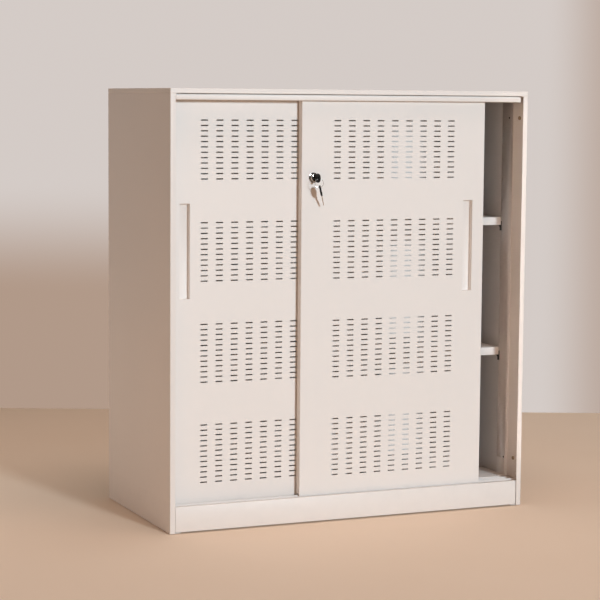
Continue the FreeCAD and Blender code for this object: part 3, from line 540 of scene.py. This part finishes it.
def aim(yaw, pitch, roll):
    """A camera's turn from its compass angle, its tilt and its lean, in radians."""
    ahead = Vector((math.sin(yaw) * math.cos(pitch), math.cos(yaw) * math.cos(pitch), -math.sin(pitch)))
    level = Vector((math.cos(yaw), -math.sin(yaw), 0.0))
    up = level.cross(ahead)
    right = level * math.cos(roll) + up * math.sin(roll)
    top = up * math.cos(roll) - level * math.sin(roll)
    return Matrix((right, top, -ahead)).transposed()


camera_data = bpy.data.cameras.new("camera")
camera_data.lens, camera_data.sensor_width = CAMERA_LENS, SENSOR_WIDTH
camera = bpy.data.objects.new("camera", camera_data)
camera_turn = aim(CAMERA_YAW, CAMERA_TILT, CAMERA_LEAN).to_4x4()
camera.matrix_world = Matrix.Translation(CAMERA_PLACE) @ camera_turn
bpy.context.scene.collection.objects.link(camera)
bpy.context.scene.camera = camera


def soft_lamp(name, azimuth, elevation, distance, size, power, colour, target=CABINET_MIDDLE, spread=180,
              glossy=False):
    """A soft box that looks at a target: azimuth 0 is straight in front and + to the right, in degrees."""
    data = bpy.data.lights.new(name, "AREA")
    data.shape, data.energy, data.color = "RECTANGLE", power, colour
    data.size, data.size_y = size
    data.spread = math.radians(spread)
    lamp = bpy.data.objects.new(name, data)
    turn, lift = math.radians(azimuth), math.radians(elevation)
    way = Vector((math.sin(turn) * math.cos(lift), -math.cos(turn) * math.cos(lift), math.sin(lift)))
    lamp.location = Vector(target) + way * distance
    lamp.rotation_euler = way.to_track_quat("Z", "Y").to_euler()
    lamp.visible_camera, lamp.visible_glossy = False, glossy
    bpy.context.scene.collection.objects.link(lamp)


soft_lamp("key_light", 8, 12, 12.0, (1.2, 1.2), 950, (0.765, 0.905, 1.0), glossy=True)
soft_lamp("left_fill", -42, 9, 4.5, (2.8, 2.8), 21, (1.0, 0.56, 0.29))
soft_lamp("wall_bounce", -118, 6, 2.3, (1.6, 1.6), 7.4, (1.0, 0.93, 0.90))
soft_lamp("top_light", 20, 70, 4.0, (2.5, 2.5), 25, (1.0, 0.54, 0.32))
soft_lamp("steep_light", 10, 83, 4.0, (2.0, 2.0), 46, (1.0, 0.90, 0.83))
soft_lamp("end_light", -38, 0, 0.6, (0.03, 0.87), 0.096, (1.0, 0.83, 0.72), OPEN_END, 14)
soft_lamp("rear_light", 150, 12, 4.5, (3.0, 3.0), 40, (1.0, 0.92, 0.84))


def make_world():
    """Soft room light, and the wall's tone wherever the camera looks past the floor and the wall."""
    world = bpy.data.worlds.new("studio")
    bpy.context.scene.world = world
    studio = NodeGroup(world)
    room = studio.add("Background", None, {"Color": (1.0, 0.96, 0.90, 1.0), "Strength": 0.06})
    wall = studio.add("Background", None, {"Color": WALL})
    seen = studio.add("LightPath", output="Is Camera Ray")
    studio.show("World Output", studio.add("MixShader", None, {0: seen, 1: room, 2: wall}))


make_world()
bpy.context.scene.view_settings.view_transform = "Standard"


def stage_sheet(name, shape, material):
    """A flat sheet of the studio, which isn't part of the cabinet."""
    mesh = bpy.data.meshes.new(name)
    shape.to_mesh(mesh)
    shape.free()
    mesh.materials.append(material)
    sheet = bpy.data.objects.new(name, mesh)
    bpy.context.scene.collection.objects.link(sheet)


def make_floor():
    """A pale matt floor, a hair below the cabinet so that its foot keeps a thin dark line."""
    finish = Finish("pale_floor", Specular_IOR_Level=0.0)
    tone = finish.blend((0.91, 0.73, 0.575, 1), (0.94, 0.765, 0.615, 1), finish.noise(2.0, 3.0))
    shape = bmesh.new()
    bmesh.ops.create_grid(shape, x_segments=1, y_segments=1, size=FLOOR_REACH)
    bmesh.ops.translate(shape, vec=(0, 0, -FOOT_GAP), verts=shape.verts)
    stage_sheet("floor", shape, finish.paint(Base_Color=tone))


def make_wall():
    """A pale wall behind the cabinet, with painted shade low on its left and along its right edge.

    Only the camera sees it, and only from in front.
    """
    finish = Finish("pale_wall")
    place = (Matrix.Translation((*WALL_FOOT, WALL_REACH)) @ Matrix.Rotation(WALL_YAW, 4, "Z")
             @ Matrix.Rotation(math.pi / 2, 4, "X"))
    shape = bmesh.new()
    bmesh.ops.create_grid(shape, x_segments=1, y_segments=1, size=WALL_REACH)
    bmesh.ops.transform(shape, matrix=place, verts=shape.verts)
    across = finish.add("VectorMath", {"operation": "DOT_PRODUCT"},
                        {0: finish.place, 1: place.to_3x3() @ Vector((1, 0, 0))}, output="Value")
    # Painted shade: the wall's glow darkens low on its left and along its right edge.
    shadow = finish.fade(finish.height(), *SHADE_HEIGHTS) * finish.fade(across, *SHADE_ACROSS)
    edge = finish.fade(across, *EDGE_SHADE_ACROSS)
    tone = finish.blend(finish.blend(WALL, SHADED_LOW_WALL, shadow), SHADED_WALL_EDGE, edge)
    glow = finish.add("Emission", None, {"Color": tone})
    clear = finish.add("BsdfTransparent")
    seen = finish.add("LightPath", output="Is Camera Ray")
    behind = finish.add("NewGeometry", output="Backfacing")
    finish.show("Material Output", finish.add("MixShader", None, {0: seen * (1.0 - behind), 1: clear, 2: glow}))
    stage_sheet("wall", shape, finish.material)


make_floor()
make_wall()
